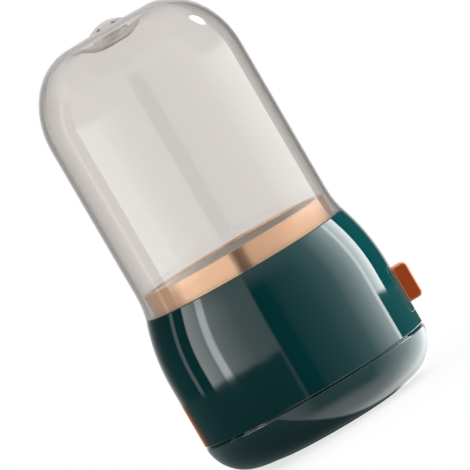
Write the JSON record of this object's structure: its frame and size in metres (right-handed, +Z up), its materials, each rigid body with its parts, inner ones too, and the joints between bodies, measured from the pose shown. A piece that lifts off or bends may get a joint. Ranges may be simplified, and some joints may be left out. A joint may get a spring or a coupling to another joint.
{
  "type": "rotating makeup brush holder",
  "caption": "Round makeup brush holder with a clear lift-off dome, a divided cup behind a metal collar, and a turning body with a pull-out drawer on a bowl-shaped base.",
  "frame": {"origin": "middle of the face that it stands on, on the turning axis", "axes": "+Z up along the turning axis, +X the way the drawer opens"},
  "size_m": [0.1495, 0.14, 0.2593],
  "materials": {
    "green_gloss": "high gloss",
    "clear": "clear",
    "rose_gold": "polished",
    "tan": "satin",
    "ivory": "satin",
    "inner_dark": "satin",
    "natural": "satin",
    "steel": "bright",
    "pad": "matt"
  },
  "bodies": {
    "base": {"base_dish": "green_gloss", "non_slip_pad": "pad", "lower_race": "natural", "pivot_bush": "natural"},
    "bearing": {"ball_cage": "natural", "bearing_balls": "steel"},
    "holder": {"body_shell": "green_gloss", "body_floor": "inner_dark", "upper_race": "natural", "pivot_washer": "steel", "pivot_screw": "steel", "floor_screws": "steel", "runner_left": "natural", "runner_right": "natural", "runner_screws": "steel", "brush_cup": "ivory", "brush_divider": "ivory", "collar_ring": "rose_gold"},
    "drawer": {"drawer_tray": "ivory", "drawer_front": "green_gloss", "drawer_pull": "tan", "pull_screws": "steel"},
    "dome": {"dome_cover": "clear", "dome_knob": "clear"}
  },
  "joints": [
    {"name": "turntable_spin", "type": "hinge", "parent": "base", "child": "holder", "pos_m": [0, 0, 0.028], "axis": [0, 0, 1], "continuous": true},
    {"name": "bearing_roll", "type": "hinge", "parent": "base", "child": "bearing", "pos_m": [0, 0, 0.0228], "axis": [0, 0, 1], "continuous": true},
    {"name": "drawer_slide", "type": "slide", "parent": "holder", "child": "drawer", "axis": [1, 0, 0], "range_m": [0, 0.064]},
    {"name": "dome_lift", "type": "slide", "parent": "holder", "child": "dome", "axis": [0, 0, 1], "range_m": [0, 0.16]}
  ],
  "couplings": [
    {"joint": "bearing_roll", "follows": "turntable_spin", "ratio": 0.5}
  ]
}
